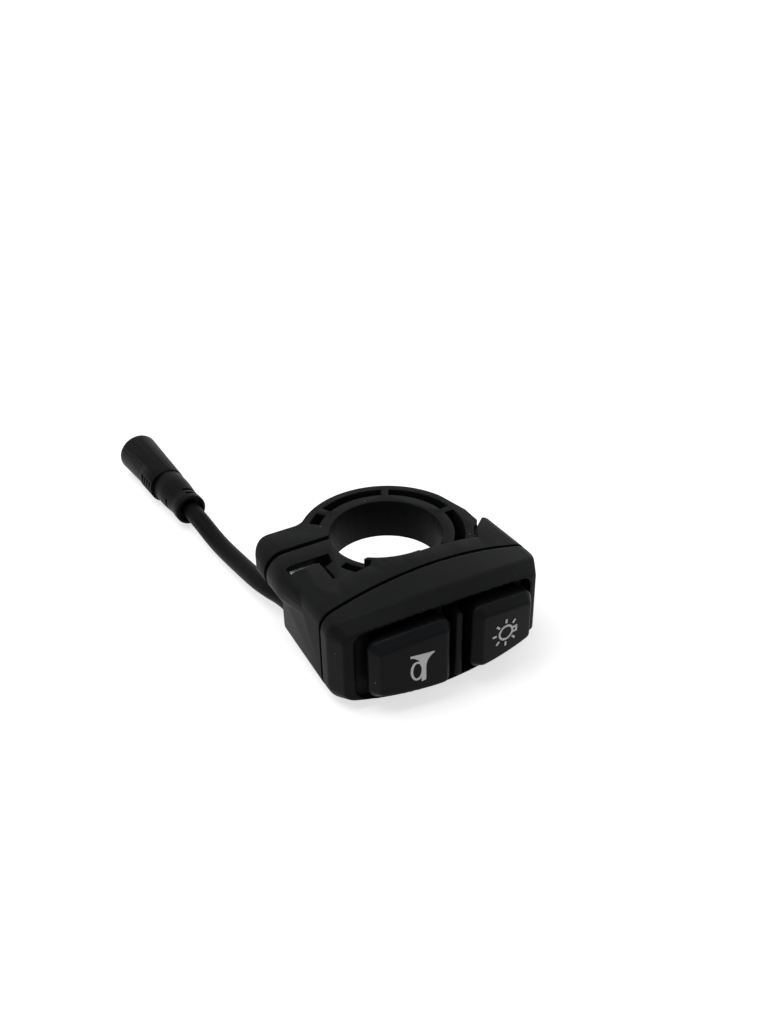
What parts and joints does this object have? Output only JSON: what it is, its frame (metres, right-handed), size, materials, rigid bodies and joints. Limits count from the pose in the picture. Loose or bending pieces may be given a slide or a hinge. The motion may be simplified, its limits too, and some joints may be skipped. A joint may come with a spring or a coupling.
{
  "type": "handlebar horn and light switch",
  "caption": "Handlebar switch with sprung keys for horn and light, a hinged split bar clamp, and a short lead that ends in a round plug.",
  "frame": {"origin": "on the bore axis of the bar clamp, at half the clamp's width", "axes": "+Z along the bore axis, upwards in the picture; -Y towards the keys; +Y is where the lead leaves; +X to the right as the rider sees the keys"},
  "size_m": [0.0522, 0.1095, 0.0218],
  "materials": {
    "shell_plastic": "fine-grained matte black moulding",
    "key_plastic": "smooth matte black moulding",
    "print_white": "pale grey pad print",
    "seal_rubber": "soft black rubber",
    "lead_jacket": "smooth black cable jacket",
    "plug_plastic": "satin black overmould",
    "screw_steel": "zinc-plated steel",
    "spring_steel": "drawn spring wire",
    "contact_brass": "tinned brass",
    "board_laminate": "green lacquered laminate",
    "switch_plastic": "black switch case",
    "wire_red": "red insulation",
    "wire_black": "black insulation",
    "wire_white": "white insulation",
    "insert_plastic": "black insulating insert"
  },
  "bodies": {
    "housing": {"rear_housing": "shell_plastic", "front_cover": "shell_plastic", "housing_gasket": "seal_rubber", "horn_seal": "seal_rubber", "lamp_seal": "seal_rubber", "horn_switch": "switch_plastic", "lamp_switch": "switch_plastic", "horn_spring": "spring_steel", "lamp_spring": "spring_steel", "circuit_board": "board_laminate", "board_screw_1": "screw_steel", "board_screw_2": "screw_steel", "cover_screw_1": "screw_steel", "cover_screw_2": "screw_steel", "hinge_pin": "screw_steel", "clamp_nut": "screw_steel", "cable_gland": "seal_rubber", "cable_tail": "lead_jacket", "cable_crimp": "screw_steel", "lead_wire_1": "wire_red", "lead_wire_2": "wire_black", "lead_wire_3": "wire_white", "cable": "lead_jacket", "plug_relief": "plug_plastic", "plug_body": "plug_plastic", "plug_insert": "insert_plastic", "plug_contact_1": "contact_brass", "plug_contact_2": "contact_brass", "plug_contact_3": "contact_brass"},
    "horn_key": {"horn_button": "key_plastic", "horn_symbol": "print_white", "horn_plunger": "key_plastic"},
    "lamp_key": {"lamp_button": "key_plastic", "lamp_symbol": "print_white", "lamp_plunger": "key_plastic"},
    "cap": {"clamp_cap": "shell_plastic"},
    "washer": {"clamp_washer": "screw_steel"},
    "screw": {"clamp_screw": "screw_steel"}
  },
  "joints": [
    {"name": "horn_press", "type": "slide", "parent": "housing", "child": "horn_key", "axis": [0, 1, 0], "range_m": [0, 0.0015], "stiffness_N_per_m": 1200, "springref_m": -0.0008, "deforming": ["horn_spring"]},
    {"name": "lamp_press", "type": "slide", "parent": "housing", "child": "lamp_key", "axis": [0, 1, 0], "range_m": [0, 0.0015], "stiffness_N_per_m": 1200, "springref_m": -0.0008, "deforming": ["lamp_spring"]},
    {"name": "cap_hinge", "type": "hinge", "parent": "housing", "child": "cap", "pos_m": [0.0124, -0.0127, 0], "axis": [0, 0, -1], "range_deg": [0, 2.4]},
    {"name": "washer_slide", "type": "slide", "parent": "housing", "child": "washer", "axis": [0, 1, 0], "range_m": [0, 0.0015]},
    {"name": "screw_spin", "type": "hinge", "parent": "washer", "child": "screw", "pos_m": [-0.0187, 0, 0.0004], "axis": [0, 1, 0], "range_deg": [0, 1081]}
  ],
  "couplings": [
    {"joint": "screw_spin", "follows": "washer_slide", "rad_per_m": 12566},
    {"joint": "cap_hinge", "follows": "washer_slide", "rad_per_m": 27.778}
  ]
}
